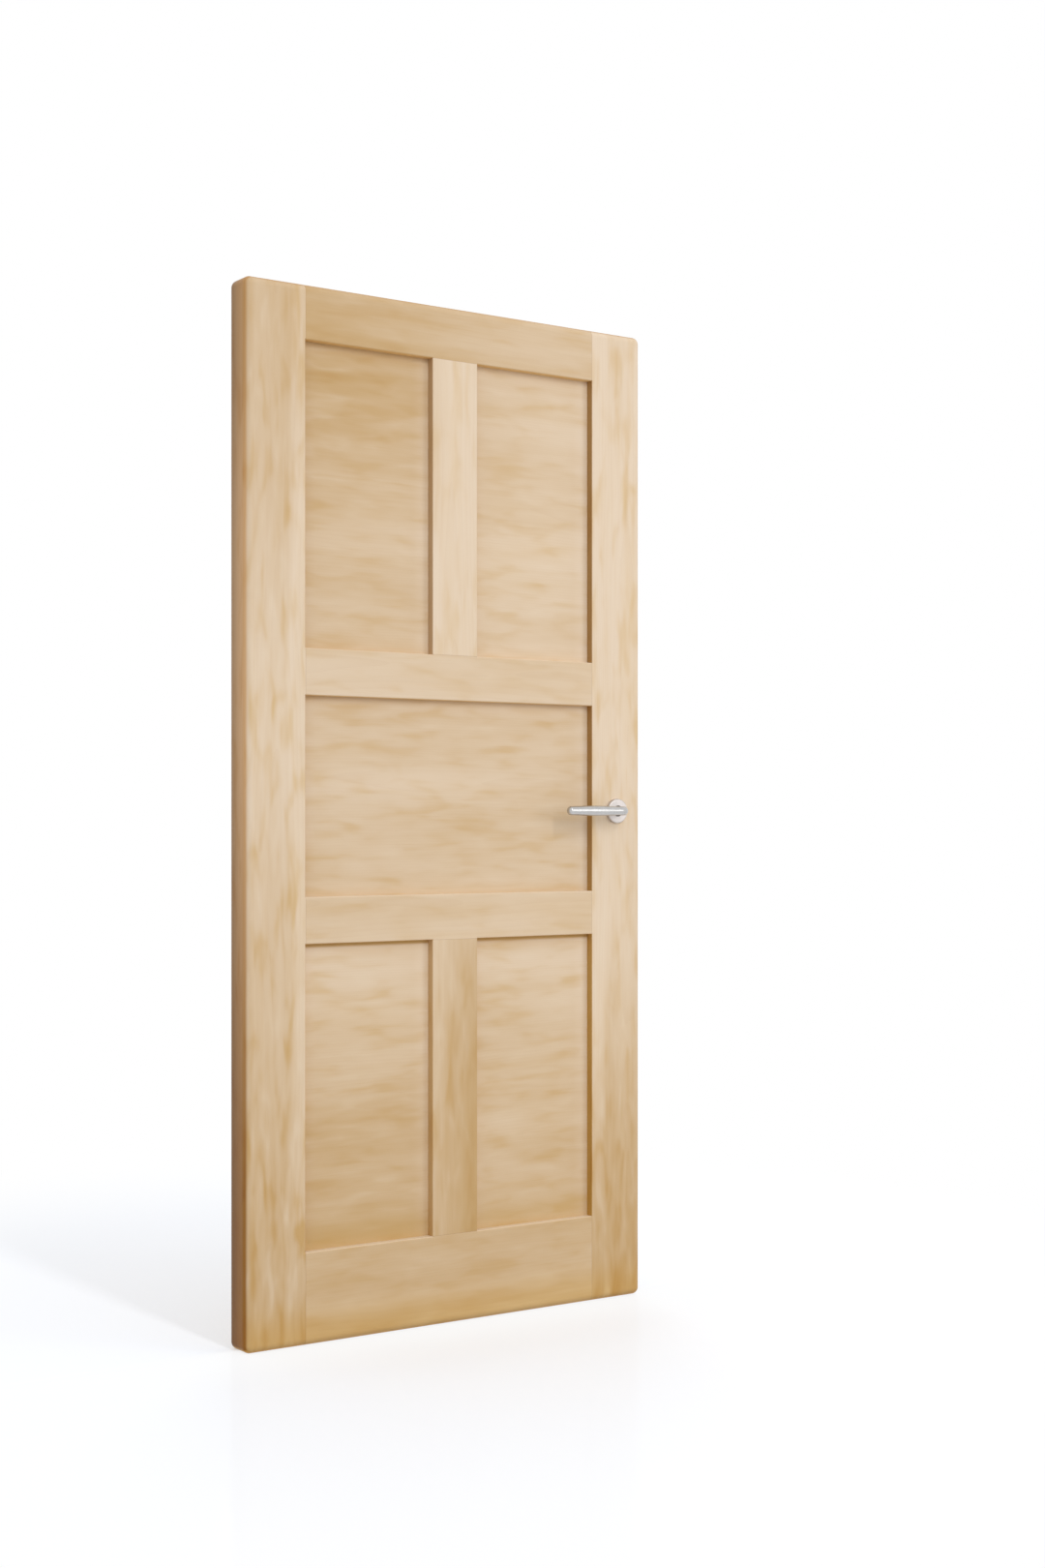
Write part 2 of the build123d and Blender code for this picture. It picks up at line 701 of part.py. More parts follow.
def handles():
    """Both handles, the spindle between them, and the bolts that draw the roses together."""
    front = {
        "lever": lever(),
        "rose_cover": rose_cover(),
        "neck_bush": neck_bush(),
        "driver_washer": driver_washer(),
        "return_spring": return_spring(),
        "circlip": circlip(),
    }
    made = {"front_rose_base": rose_base(False), "back_rose_base": mirror(rose_base(True), about=Plane.XZ)}
    for name, piece in front.items():
        made["front_" + name] = piece
        made["back_" + name] = mirror(piece, about=Plane.XZ)
    screw = grub_screw()
    made["grub_screws"] = Compound([screw, mirror(screw, about=Plane.XZ)])
    half = spindle_size / 2
    ends = face + spindle_grip
    made["spindle"] = block((hub_x - half, hub_x + half), (-ends, ends),
                            (handle_height - half, handle_height + half))
    length = 2 * face + rose_base_thickness + fixing_grip
    bolt = countersunk(fixing_head_radius, fixing_bolt_radius, length, fixing_bolt_point)
    head = Pos(hub_x, face + rose_base_thickness, 0) * Rot(0, 0, 90) * bolt
    made["fixing_bolts"] = Compound([Pos(0, 0, z) * head for z in fixing_places()])
    return made


def main():
    os.makedirs("parts", exist_ok=True)
    for name, piece in {**woodwork(), **latch(), **handles()}.items():
        export_step(piece, f"parts/{name}.step")
        print(name, round(piece.volume / 1000, 2), "cm3")


main()
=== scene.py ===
# %% [markdown]
# # A pine door leaf with a lever handle
#
# The real thing is an interior door leaf of clear softwood: two stiles, four rails and two short muntins
# hold five flat panels, and a satin metal lever turns in a round rose on each face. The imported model
# already has every piece at its real size, so this lesson is about looks: how to set the camera, how to
# light pale wood on a white ground, and how to write a wood and a metal that hold up close by.

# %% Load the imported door
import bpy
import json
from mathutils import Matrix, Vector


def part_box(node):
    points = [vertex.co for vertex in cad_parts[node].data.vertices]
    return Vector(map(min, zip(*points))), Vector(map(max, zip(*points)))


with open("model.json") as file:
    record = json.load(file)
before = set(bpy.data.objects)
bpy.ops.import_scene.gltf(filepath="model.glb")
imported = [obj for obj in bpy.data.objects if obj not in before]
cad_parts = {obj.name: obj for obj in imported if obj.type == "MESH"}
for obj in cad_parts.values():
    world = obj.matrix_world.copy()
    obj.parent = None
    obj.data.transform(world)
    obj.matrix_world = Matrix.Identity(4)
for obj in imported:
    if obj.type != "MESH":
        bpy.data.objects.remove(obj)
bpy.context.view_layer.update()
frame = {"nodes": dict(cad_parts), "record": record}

# %% [markdown]
# ## Sizes that the finishes need
#
# A finish has to know where the boards lie. Their boxes come from the frame, so that nothing here repeats
# a number that the construction already holds. The tenon is the end of a rail that its neighbour hides,
# and the tongue is the rim of a panel that lies in a groove.

# %% Boxes of the boards
import json
import math
from types import SimpleNamespace

import bpy
import numpy as np

scene = bpy.context.scene
scene.view_settings.view_transform = "Standard"
leaf_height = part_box("lock_stile")[1].z
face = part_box("lock_stile")[1].y
opening_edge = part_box("lock_stile")[0].x
rail_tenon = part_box("top_rail")[1].x - opening_edge
panel_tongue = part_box("middle_panel")[1].x - opening_edge
print("tenon:", round(rail_tenon, 4), "tongue:", round(panel_tongue, 4), "m")

# %% [markdown]
# ## The camera
#
# In the photograph every upright edge stays upright, so the camera is level, and the horizon lies a little
# below the middle, which is a small shift of the lens. The leaf's two ends are unlike in height by 13
# percent: together with its known width and height that fixes how far the camera is turned, how far off it
# stands and how long the lens is. Tilting the camera instead of shifting it would make the uprights lean.

# %% Camera
photo_height_px = 1620
horizon_below_middle_px = 41
camera_turn = math.radians(34.695)
camera_place = (-2.285, -3.565, 0.974)
lens_mm = 49.46
sensor_mm = 36.0

lens = bpy.data.cameras.new("studio_camera")
lens.lens = lens_mm
lens.sensor_width = sensor_mm
lens.shift_y = horizon_below_middle_px / photo_height_px
camera = bpy.data.objects.new("studio_camera", lens)
camera.location = camera_place
camera.rotation_euler = (math.pi / 2, 0, -camera_turn)
scene.collection.objects.link(camera)
scene.camera = camera
print("camera:", camera_place, "lens", lens_mm, "mm, shift", round(lens.shift_y, 4))

# %% [markdown]
# ## Helpers for shader nodes
#
# A material is a small drawing of nodes. Written out in full it hides the idea, so one helper adds a node
# with its sockets filled in, and the others are the few sums that nearly every finish needs.

# %% Helpers that add nodes
def add_node(tree, kind, sockets=(), **settings):
    """Adds a node. settings are its properties; sockets pairs an input with a value or a node's output."""
    node = tree.nodes.new(kind)
    for name, value in settings.items():
        setattr(node, name, value)
    for name, value in dict(sockets).items():
        if isinstance(value, bpy.types.NodeSocket):
            tree.links.new(value, node.inputs[name])
        else:
            node.inputs[name].default_value = value
    return node


def sums(tree, operation, *terms, clamp=False):
    """One Math node: operation is its name, and terms its one to three inputs."""
    node = add_node(tree, "ShaderNodeMath", enumerate(terms), operation=operation, use_clamp=clamp)
    return node.outputs[0]


def vector_sums(tree, operation, *terms):
    """One Vector Math node. A distance or a length comes out as a number, anything else as a vector."""
    node = add_node(tree, "ShaderNodeVectorMath", enumerate(terms), operation=operation)
    return node.outputs["Value" if operation in ("DISTANCE", "LENGTH") else "Vector"]


def axes(tree, vector):
    """The X, Y and Z of a vector, as three outputs."""
    return add_node(tree, "ShaderNodeSeparateXYZ", {0: vector}).outputs


def new_tree(holder):
    """The empty node tree of a material or a world."""
    holder.use_nodes = True
    holder.node_tree.nodes.clear()
    return holder.node_tree


print("node helpers: add_node, sums, vector_sums, axes, new_tree")

# %% Helpers for steps and colours
def ramp(tree, value, low, high, from_value=0.0, to_value=1.0):
    """A smooth step: from_value where value is under low, to_value where it is over high."""
    sockets = {"Value": value, "From Min": low, "From Max": high, "To Min": from_value, "To Max": to_value}
    node = add_node(tree, "ShaderNodeMapRange", sockets, interpolation_type="SMOOTHSTEP")
    return node.outputs["Result"]


def swing(tree, noise, amount, base, clamp=False):
    """A noise's swing about its middle, added to base: base + (noise - 0.5) * amount."""
    return sums(tree, "MULTIPLY_ADD", sums(tree, "SUBTRACT", noise, 0.5), amount, base, clamp=clamp)


def blend_colours(tree, share, first, second):
    """A colour that goes from first to second as share goes from 0 to 1."""
    node = add_node(tree, "ShaderNodeMix", {0: share, 6: first, 7: second}, data_type="RGBA")
    return node.outputs[2]


def tint_colour(tree, share, colour, tint):
    """A colour multiplied by tint as share goes from 0 to 1: colour * (1 - share * (1 - tint))."""
    sockets = {0: share, 6: colour, 7: tint}
    node = add_node(tree, "ShaderNodeMix", sockets, data_type="RGBA", blend_type="MULTIPLY")
    return node.outputs[2]


def paint(red, green, blue):
    """A colour written as on a screen, 0 to 255, in the linear values that shaders use."""
    screen = np.array([red, green, blue]) / 255
    linear = np.where(screen <= 0.04045, screen / 12.92, ((screen + 0.055) / 1.055) ** 2.4)
    return (*linear.tolist(), 1.0)


print("middle grey in linear values:", round(paint(128, 128, 128)[0], 3))

# %% Helpers that end a material
def mix_shaders(tree, share, first, second):
    """A surface that goes from first to second as share goes from 0 to 1."""
    return add_node(tree, "ShaderNodeMixShader", {0: share, 1: first, 2: second}).outputs[0]


def bumped(tree, strength, depth, height):
    """A normal bent by height, a relief from 0 to 1 that is depth metres deep."""
    sockets = {"Strength": strength, "Distance": depth, "Height": height}
    return add_node(tree, "ShaderNodeBump", sockets).outputs[0]


def end_surface(tree, colour, roughness, normal, others=()):
    """The Principled surface and the output that end a material. others pairs more sockets with values."""
    sockets = {"Base Color": colour, "Roughness": roughness, "Normal": normal, **dict(others)}
    skin = add_node(tree, "ShaderNodeBsdfPrincipled", sockets)
    add_node(tree, "ShaderNodeOutputMaterial", {"Surface": skin.outputs[0]})


print("closing helpers: mix_shaders, bumped, end_surface")

# %% [markdown]
# ## White air
#
# The photograph has no background, only white. The trick is to split what a ray sees: rays from the camera,
# and those that metal or glass passes on, see pure white air, and all others meet a calm, slightly warm
# grey light. A white room with real lamps would flood the wood with light from all sides and wash it out.

# %% Air
air_light = 0.765
air_colour = (1.0, 0.985, 0.96, 1.0)
pure_white = (1.0, 1.0, 1.0, 1.0)


def sees_white(tree):
    """1 for rays from the camera and for mirrored or refracted ones, else 0."""
    path = add_node(tree, "ShaderNodeLightPath").outputs
    direct = sums(tree, "MAXIMUM", path["Is Camera Ray"], path["Is Glossy Ray"])
    return sums(tree, "MAXIMUM", direct, path["Is Transmission Ray"])


def white_air():
    """A world that is pure white to the rays that see white, and air_colour times air_light to others."""
    air = bpy.data.worlds.new("studio_air")
    tree = new_tree(air)
    soft = add_node(tree, "ShaderNodeBackground", {"Color": air_colour, "Strength": air_light})
    white = add_node(tree, "ShaderNodeBackground", {"Color": pure_white, "Strength": 1.0})
    split = mix_shaders(tree, sees_white(tree), soft.outputs[0], white.outputs[0])
    add_node(tree, "ShaderNodeOutputWorld", {"Surface": split})
    return air


scene.world = white_air()
print("air light:", air_light)

# %% [markdown]
# ## White ground
#
# The ground is pure white too, yet it takes a pale shadow. To the rays that see white it glows softly by
# itself and is lit only for the rest, so that a shadow can take away only that rest. The lit rest is a
# trace bluer than grey, because pale wood stands over it and throws some of its own gold down. All other
# rays see plain pale board. Away from the door the lit rest fades out, because a lamp's light thins with
# distance and would draw a grey horizon across the white. It also fades close in front of the leaf, and
# the glow takes its place there: painted light that hides the leaf's contact shade and warm cast, so that
# the ground is white right up to the wood. A faint mirror, as of a smooth studio sheet, doubles the foot.

# %% Shares of the ground
ground_glow = 0.195
ground_lit_share = 0.90
lit_red = 0.96
lit_blue = 1.075
ground_mirror_share = 0.03
ground_mirror_colour = (0.90, 0.96, 1.0, 1.0)
ground_mirror_roughness = 0.10
ground_board_colour = (0.55, 0.55, 0.55, 1.0)
fade_middle = (0.0, 0.25, 0.0)
fade_start, fade_end = 0.9, 1.95
# contact_glow and contact_reach set painted light: more glow in place of the contact shade before the leaf.
contact_glow = 0.80
contact_reach = 0.26
print("ground fades from", fade_start, "to", fade_end, "m, and from", contact_reach, "m before the leaf")

# %% Finish of the ground
def lit_strength(tree, near, place):
    """near, less a share contact_glow of it in a dip from contact_reach before the leaf to under it."""
    # The dip is painted light: the ground's glow hides the leaf's contact shade in front of it.
    depth = axes(tree, place)["Y"]
    before = ramp(tree, depth, -face - contact_reach, -face, 1.0, 1.0 - contact_glow)
    behind = ramp(tree, depth, 0.0, face, 0.0, contact_glow)
    return sums(tree, "MULTIPLY", near, sums(tree, "ADD", before, behind))


def ground_finish():
    """Glow plus lit board plus a faint mirror where a ray sees white, else plain board.

    The glow is 1 - strength * (1 - ground_glow), and the lit colour strength * ground_lit_share, where
    strength is 1 by the door and 0 far off.
    """
    sheet = bpy.data.materials.new("white_ground")
    tree = new_tree(sheet)
    place = add_node(tree, "ShaderNodeTexCoord").outputs["Object"]
    near = ramp(tree, vector_sums(tree, "DISTANCE", place, fade_middle), fade_start, fade_end, 1.0, 0.0)
    strength = lit_strength(tree, near, place)
    lit_share = sums(tree, "MULTIPLY", strength, ground_lit_share)
    glow_strength = sums(tree, "MULTIPLY_ADD", strength, ground_glow - 1.0, 1.0)
    red = sums(tree, "MULTIPLY", lit_share, lit_red)
    blue = sums(tree, "MULTIPLY", lit_share, lit_blue)
    lit_colour = add_node(tree, "ShaderNodeCombineColor", {0: red, 1: lit_share, 2: blue}).outputs[0]
    glow = add_node(tree, "ShaderNodeEmission", {"Color": pure_white, "Strength": glow_strength})
    lit = add_node(tree, "ShaderNodeBsdfDiffuse", {"Color": lit_colour})
    both = add_node(tree, "ShaderNodeAddShader", {0: glow.outputs[0], 1: lit.outputs[0]})
    mirror = add_node(tree, "ShaderNodeBsdfGlossy", {"Color": ground_mirror_colour,
                                                     "Roughness": ground_mirror_roughness})
    mirror_share = sums(tree, "MULTIPLY", near, ground_mirror_share)
    seen = mix_shaders(tree, mirror_share, both.outputs[0], mirror.outputs[0])
    board = add_node(tree, "ShaderNodeBsdfDiffuse", {"Color": ground_board_colour})
    split = mix_shaders(tree, sees_white(tree), board.outputs[0], seen)
    add_node(tree, "ShaderNodeOutputMaterial", {"Surface": split})
    return sheet


white_ground = ground_finish()
print("ground finish:", len(white_ground.node_tree.nodes), "nodes")

# %% Sheet of the ground
ground_half = 30.0

corners = np.array([(-1, -1, 0), (1, -1, 0), (1, 1, 0), (-1, 1, 0)]) * ground_half
ground_mesh = bpy.data.meshes.new("ground")
ground_mesh.from_pydata(corners.tolist(), [], [(0, 1, 2, 3)])
ground_mesh.materials.append(white_ground)
ground = bpy.data.objects.new("ground", ground_mesh)
scene.collection.objects.link(ground)
print("ground:", 2 * ground_half, "m square")

# %% [markdown]
# ## Lamps
#
# The shadow on the ground runs straight back from the leaf, with a firm side and a long soft end. That is
# a tall narrow softbox, far in front and high up: narrow for the firm side, tall for the soft end. A
# second, gentle softbox stands at the right, where the lacquer mirrors it towards the camera, and gives
# the middle of the leaf its pale bloom. A third one, behind, keeps the far face readable from the back.

# %% Softboxes
def softbox(name, place, target, width, height, watts):
    """A rectangular lamp at place that shines at target. The camera doesn't see it.

    Its turn is the compass direction of the way to the target, and its tilt is that way's slope.
    """
    lamp = bpy.data.lights.new(name, "AREA")
    lamp.shape = "RECTANGLE"
    lamp.size, lamp.size_y = width, height
    lamp.energy = watts
    holder = bpy.data.objects.new(name, lamp)
    holder.location = place
    way = np.array(target, float) - np.array(place, float)
    turn = math.atan2(-way[0], way[1])
    tilt = math.atan2(way[2], math.hypot(way[0], way[1]))
    holder.rotation_euler = (math.pi / 2 + tilt, 0, turn)
    holder.visible_camera = False
    scene.collection.objects.link(holder)


key_distance, key_elevation, key_side = 12.0, math.radians(29), -0.35
leaf_middle = (0.0, 0.0, leaf_height / 2)
key_place = (key_side, -key_distance * math.cos(key_elevation),
             leaf_middle[2] + key_distance * math.sin(key_elevation))
softbox("key_softbox", key_place, leaf_middle, width=1.0, height=6.4, watts=335)
softbox("bloom_softbox", (2.7, -3.7, 1.7), (0.1, 0, 1.25), width=1.5, height=1.9, watts=19)
softbox("back_softbox", (2.2, 3.4, 2.6), (0, 0, 1.0), width=1.8, height=1.8, watts=26)
print("key softbox at", [round(v, 2) for v in key_place])

# %% [markdown]
# ## The pine
#
# Clear pine is pale straw with soft honey streaks, and several things happen in it at several scales. A
# picture of wood would slide over edges; a pattern in three dimensions runs round them, so each thing here
# is a noise or a formula in the board's own space, with Z along the grain. The colours come first, written
# as a screen shows them. The tints are colours that multiply another one.

# %% Colours of the pine
pale_pine = paint(236, 216, 192)
golden_pine = paint(203, 169, 119)
streak_tint = (0.87, 0.75, 0.50, 1.0)
cream_pine = paint(240, 224, 203)
latewood_pine = paint(188, 146, 98)
print("pale pine in linear values:", [round(v, 2) for v in pale_pine[:3]])

# %% [markdown]
# ## Drifts and bands
#
# No board has one tone from end to end. Slow drifts, a hand and more wide, wander between pale and golden,
# and narrower bands run along them. Both are one kind of noise, stretched along the grain: what is
# multiplied most varies soonest. Painting the bands by hand would take a picture for every board.

# %% Drifts and bands
drift_across, band_across = 6.0, 28.0
drift_amount, band_amount = 0.9, 0.2


def stretched_noise(tree, place, seed, across, along, detail, distortion=0.0):
    """Noise with features 1/across metres wide and 1/along metres long, along the board's Z."""
    spread = vector_sums(tree, "MULTIPLY", place, (across, across, along))
    sockets = {"Vector": spread, "W": seed, "Scale": 1.0, "Detail": detail, "Distortion": distortion}
    return add_node(tree, "ShaderNodeTexNoise", sockets, noise_dimensions="4D").outputs["Fac"]


def board_tone(group, place, seed, warmth):
    """The ground colour, pale to golden, by warmth plus the swings of the drift and of the bands.

    Gives that colour and the bands.
    """
    drift = stretched_noise(group, place, seed, across=drift_across, along=1.1, detail=1.0)
    other_seed = sums(group, "ADD", seed, 5.9)
    bands = stretched_noise(group, place, other_seed, across=band_across, along=1.7, detail=2.0,
                            distortion=0.3)
    tone = swing(group, drift, drift_amount, warmth)
    tone = swing(group, bands, band_amount, tone, clamp=True)
    return blend_colours(group, tone, pale_pine, golden_pine), bands


print("drifts are about", round(1 / drift_across, 2), "m wide, bands", round(1 / band_across, 3), "m")

# %% [markdown]
# ## Lens-shaped streaks
#
# Where the growth rings lie almost flat in a face, the plane cuts them into honey-coloured lenses, a finger
# wide and a hand long, with cream between them. They are what the eye takes for pine at a distance. One
# noise gives both: its peaks become honey and its hollows cream.

# %% Lens-shaped streaks
honey_start, honey_full = 0.44, 0.82
honey_base, honey_from_bands = 0.06, 0.75
cream_start, cream_full = 0.48, 0.18
cream_most = 0.4


def lens_streaks(group, place, seed, strength, bands, colour):
    """Honey where the noise is high, cream where it is low, both times strength.

    Honey's share is honey_base + strength * step(noise) + honey_from_bands * (bands - 0.5), and cream's
    is strength times a step that ends at cream_most. Gives the colour and honey's share.
    """
    other_seed = sums(group, "ADD", seed, 7.3)
    flat = stretched_noise(group, place, other_seed, across=48.0, along=11.0, detail=1.3, distortion=0.35)
    peak = ramp(group, flat, honey_start, honey_full)
    lens_share = sums(group, "MULTIPLY_ADD", peak, strength, honey_base)
    honey = swing(group, bands, honey_from_bands, lens_share, clamp=True)
    colour = tint_colour(group, honey, colour, streak_tint)
    hollow = ramp(group, flat, cream_start, cream_full, 0.0, cream_most)
    cream = sums(group, "MULTIPLY", hollow, strength, clamp=True)
    return blend_colours(group, cream, colour, cream_pine), honey


print("honey over", honey_start, "and cream under", cream_start, "of the noise")

# %% [markdown]
# ## Growth rings and fibres
#
# The rings are sleeves around the pith, so the distance to a pith line behind the board gives arches on the
# face, straight lines on the edge and arcs on the ends, all from one formula. Fibres are the finest of all:
# they darken in flecks, shift the gloss and give the lacquer its slight relief.

# %% Growth rings
ring_width = 0.0042
ring_bend = 0.045
ring_power = 3.0


def growth_rings(group, place, seed, pith):
    """0 where a ring starts and 1 at its dark end: the share of the ring's width, to ring_power.

    The distance is sqrt((x - pith x)^2 + (y - pith y)^2), bent by ring_bend times a slow noise.
    """
    bend = stretched_noise(group, place, sums(group, "ADD", seed, 3.1), across=9.0, along=1.1, detail=2.0)
    from_pith = vector_sums(group, "SUBTRACT", place, pith)
    flat_way = vector_sums(group, "MULTIPLY", from_pith, (1, 1, 0))
    distance = vector_sums(group, "LENGTH", flat_way)
    bent = sums(group, "MULTIPLY_ADD", bend, ring_bend, distance)
    share = sums(group, "FRACT", sums(group, "MULTIPLY", bent, 1 / ring_width))
    return sums(group, "POWER", share, ring_power)


print("a ring is", round(1000 * ring_width, 1), "mm wide")

# %% The pine figure
figure_inputs = (("Place", "NodeSocketVector"), ("Pith", "NodeSocketVector"), ("Seed", "NodeSocketFloat"),
                 ("Warmth", "NodeSocketFloat"), ("Streaks", "NodeSocketFloat"), ("End", "NodeSocketFloat"))
figure_outputs = (("Colour", "NodeSocketColor"), ("Lines", "NodeSocketFloat"),
                  ("Roughness", "NodeSocketFloat"), ("Relief", "NodeSocketFloat"))


face_rings, end_rings = 0.06, 0.49
line_rings = 0.35
end_gold = 0.30
fleck_band, fleck_share = (0.56, 0.80), 0.30
ring_relief = -1.2
fibre_gloss, least_roughness = 0.10, 0.38


def pine_figure():
    """A node group from a place on the board (X across, Y through, Z along) to colour, gloss and relief.

    End is 1 on end grain, where the cut fibres drink the lacquer and the rings stand out: the rings'
    share is face_rings + end_rings * End. Lines is what darkens any other tone: honey plus line_rings
    times the rings.
    """
    group = bpy.data.node_groups.new("pine_figure", "ShaderNodeTree")
    for name, kind in figure_inputs:
        group.interface.new_socket(name, in_out="INPUT", socket_type=kind)
    for name, kind in figure_outputs:
        group.interface.new_socket(name, in_out="OUTPUT", socket_type=kind)
    given = add_node(group, "NodeGroupInput").outputs
    place, seed, end = given["Place"], given["Seed"], given["End"]

    colour, bands = board_tone(group, place, seed, given["Warmth"])
    colour, honey = lens_streaks(group, place, seed, given["Streaks"], bands, colour)
    ring = growth_rings(group, place, seed, given["Pith"])
    latewood = sums(group, "MULTIPLY", ring, sums(group, "MULTIPLY_ADD", end, end_rings, face_rings))
    lines = sums(group, "MULTIPLY_ADD", ring, line_rings, honey)
    colour = blend_colours(group, sums(group, "MULTIPLY", end, end_gold), colour, golden_pine)
    colour = blend_colours(group, latewood, colour, latewood_pine)

    fibres = stretched_noise(group, place, seed, across=1100.0, along=16.0, detail=2.0)
    fleck = ramp(group, fibres, *fleck_band, 0.0, fleck_share)
    colour = tint_colour(group, fleck, colour, streak_tint)
    relief = sums(group, "MULTIPLY_ADD", latewood, ring_relief, fibres)
    roughness = sums(group, "MULTIPLY_ADD", fibres, fibre_gloss, least_roughness)
    add_node(group, "NodeGroupOutput", {"Colour": colour, "Lines": lines, "Roughness": roughness,
                                         "Relief": relief})
    return group


pine = pine_figure()
print("pine figure:", len(pine.nodes), "nodes")

# %% [markdown]
# ## Where a point lies on its board
#
# Every board gets its own material, because each was sawn from its own log. What they share is how a
# finish finds its way: the place in the door tells height and side, the same place taken from the board's
# middle and turned tells where the point is along the grain, and the normal tells a face from an edge.

# %% Reading a board
def read_board(tree, name, grain):
    """The board called name, as its finish reads it.

    spot is the place in the door, centred the place less the board's middle, laid the same turned so that
    Z runs along the grain, and normal the way the surface faces. low and high are the board's corners.
    """
    low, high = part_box(name)
    where = add_node(tree, "ShaderNodeTexCoord").outputs
    centred = vector_sums(tree, "SUBTRACT", where["Object"], tuple((low + high) / 2))
    quarter_turn = (0, math.pi / 2, 0) if grain == "X" else (0, 0, 0)
    laid = add_node(tree, "ShaderNodeMapping", {"Vector": centred, "Rotation": quarter_turn}).outputs[0]
    return SimpleNamespace(name=name, grain=grain, low=low, high=high, centred=centred, laid=laid,
                           spot=axes(tree, where["Object"]), normal=axes(tree, where["Normal"]))


# %% [markdown]
# ## How golden a board is
#
# The boards are more golden and darker near the floor and, at the hinge side, near the top: partly the
# wood's own golden tone, partly painted shade where the light falls off. The stiles are paler sapwood
# beside the openings, except near the floor, the panels are painted paler towards the lock side, a
# painted light against the shade beside the lock-side walls, and each muntin has a warmer and a paler
# side. All of that is a sum of smooth steps along the door's axes, which any ray finds without a picture.

# %% Warmth by place
# low_gold_and_shade, lock_stile_gold_and_shade and high_gold_and_shade are partly golden tone and partly
# painted shade.
low_gold_and_shade, low_gold_band = 0.52, (0.15, 1.15)
lock_stile_gold_and_shade, lock_stile_band = 0.82, (0.15, 0.85)
high_gold_and_shade, high_gold_band = 0.50, (1.15, 1.95)
hinge_side_band, far_side_share = (-0.40, 0.25), 0.10
# panel_painted_light is painted light that lifts the shade beside the lock-side walls.
panel_painted_light, panel_painted_light_width = -0.26, 0.040
sapwood_pale, sapwood_band = -0.38, (opening_edge + 0.010, opening_edge + 0.045)
sapwood_foot_band = (0.05, 0.40)
muntin_side_warmth = {"upper_muntin": -0.10, "lower_muntin": 0.24}


def board_warmth(tree, board, warmth):
    """warmth, plus gold low down, plus gold high up at the hinge side, less what sapwood takes away."""
    across, height = board.spot["X"], board.spot["Z"]
    gold, gold_band = low_gold_and_shade, low_gold_band
    if board.name == "lock_stile":
        gold, gold_band = lock_stile_gold_and_shade, lock_stile_band
    # Partly golden tone, partly painted shade: darker low down, and high up at the hinge side.
    low_share = ramp(tree, height, *gold_band, gold, 0.0)
    high_share = ramp(tree, height, *high_gold_band, 0.0, high_gold_and_shade)
    hinge_share = ramp(tree, across, *hinge_side_band, 1.0, far_side_share)
    golden = sums(tree, "ADD", low_share, sums(tree, "MULTIPLY", high_share, hinge_share))
    warm = sums(tree, "ADD", golden, warmth)
    # Painted light: the panels are paler beside the lock-side wall, where its shade would fall.
    if board.name.endswith("panel"):
        shown_end = board.high.x - panel_tongue
        pale = ramp(tree, across, shown_end - panel_painted_light_width, shown_end, 0.0, panel_painted_light)
        warm = sums(tree, "ADD", warm, pale)
    # Each muntin is warmer on one side, by a slope across it.
    if board.name in muntin_side_warmth:
        slope = muntin_side_warmth[board.name] / board.high.x
        warm = sums(tree, "MULTIPLY_ADD", across, slope, warm)
    if board.name.endswith("stile"):
        sapwood = ramp(tree, sums(tree, "ABSOLUTE", across), *sapwood_band, sapwood_pale, 0.0)
        sapwood = sums(tree, "MULTIPLY", sapwood, ramp(tree, height, *sapwood_foot_band))
        warm = sums(tree, "ADD", warm, sapwood)
    return warm


print("sapwood is", round(sapwood_band[1] - opening_edge, 3), "m wide")

# %% [markdown]
# ## The figure on one board
#
# The figure group is one recipe, and a board gives it its own place, seed and pith. The stiles carry more
# figure low down, as in the photograph. On the two faces and the edges the grain lies along the surface;
# where the normal points along the grain, the surface is end grain.

# %% Figure of a board
end_grain_band = (0.75, 0.97)
low_stile_streaks = 1.45
streaks_band = (0.15, 0.85)


def board_figure(tree, board, warmth, streaks, seed, pith):
    """The outputs of the figure group for this board."""
    end = ramp(tree, sums(tree, "ABSOLUTE", board.normal[board.grain]), *end_grain_band)
    low_streaks = low_stile_streaks * streaks if board.name.endswith("stile") else streaks
    strong = ramp(tree, board.spot["Z"], *streaks_band, low_streaks, streaks)
    sockets = {"Place": board.laid, "Warmth": board_warmth(tree, board, warmth), "Streaks": strong,
               "End": end, "Seed": seed, "Pith": pith}
    return add_node(tree, "ShaderNodeGroup", sockets, node_tree=pine).outputs


print("stiles' streaks are", low_stile_streaks, "times as strong below", streaks_band[0], "m")

# %% [markdown]
# ## Edges and recess walls
#
# Edges and recess walls are painted a deeper brown: painted shade, as both turn away from the lamps.
# Which surface is which is read from the normal: on the two faces it points along Y, and on every edge and
# recess wall it doesn't. A box that ends between the openings and the outline tells the walls inside
# from the leaf's own edges.

# %% Which surface is which
inside_x = opening_edge + 0.02
inside_z = leaf_height / 2 - 0.05
wall_band = (0.14, 0.50)
ledge_band = (0.2, 0.7)
muntin_recess_share = {"upper_muntin": 0.62, "lower_muntin": 0.50}
recess_share = 0.90
# hinge_edge_share and edge_share are shares of painted shade on the outer edges.
hinge_edge_share, edge_share = 0.92, 0.70


def inner_share(tree, board):
    """1 inside the box round the openings, 0 near the leaf's outer edges."""
    across = sums(tree, "LESS_THAN", sums(tree, "ABSOLUTE", board.spot["X"]), inside_x)
    from_middle = sums(tree, "ABSOLUTE", sums(tree, "SUBTRACT", board.spot["Z"], leaf_height / 2))
    return sums(tree, "MULTIPLY", across, sums(tree, "LESS_THAN", from_middle, inside_z))


